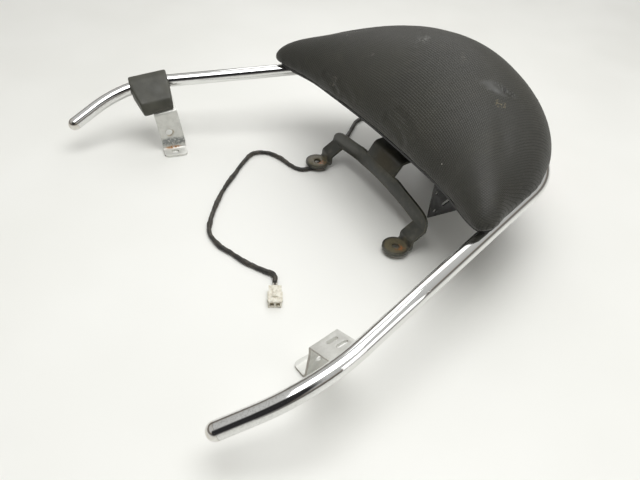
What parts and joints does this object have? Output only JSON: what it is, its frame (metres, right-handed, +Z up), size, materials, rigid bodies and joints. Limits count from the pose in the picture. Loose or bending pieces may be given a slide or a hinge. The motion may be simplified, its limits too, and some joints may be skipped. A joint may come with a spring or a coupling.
{
  "type": "motorcycle backrest",
  "caption": "Padded passenger backrest on a bent chrome grab rail, with front mounting straps, a stepped centre bracket and a short lamp lead ending in a plug.",
  "frame": {"origin": "midway between the two ear holes of the centre bracket, on the underside of the ears", "axes": "+Z up, +Y towards the rear of the vehicle, +X to the rider's left"},
  "size_m": [0.5251, 0.4722, 0.1886],
  "materials": {
    "chrome_tube": "bright plated, light pitting",
    "chrome_cap": "bright plated",
    "zinc_plate": "zinc plated, rust in the bends",
    "black_steel": "satin black, worn edges",
    "black_sheet": "satin black",
    "cover_plastic": "moulded, fine grain",
    "tray_plastic": "moulded",
    "vinyl": "embossed vinyl over foam, scuffed",
    "screw_steel": "plated",
    "red_lens": "clear red",
    "board": "laminate",
    "led": "clear",
    "black_rubber": "matt",
    "harness_tape": "wound tape",
    "wire_cover": "plain",
    "plug_plastic": "aged cream",
    "terminal_brass": "tinned"
  },
  "bodies": {
    "root": {"grab_rail": "chrome_tube", "end_cap_left": "chrome_cap", "end_cap_right": "chrome_cap", "front_strap_left": "zinc_plate", "front_strap_right": "zinc_plate", "strap_cover_right": "cover_plastic", "cover_screws": "screw_steel", "centre_bracket": "black_steel", "tongue_bolts": "screw_steel", "tongue_washers": "screw_steel", "pad_cushion": "vinyl", "pad_tray": "tray_plastic", "rail_clamps": "zinc_plate", "clamp_screws": "screw_steel", "rail_tabs": "black_steel", "tab_screws": "screw_steel", "side_plate": "black_sheet", "side_plate_screws": "screw_steel", "lamp_housing": "tray_plastic", "lamp_lens": "red_lens", "lamp_board": "board", "lamp_leds": "led", "lamp_screws": "screw_steel", "harness_grommet": "black_rubber", "harness": "harness_tape", "plug_wires": "wire_cover", "connector_housing": "plug_plastic", "connector_terminals": "terminal_brass"}
  },
  "joints": []
}
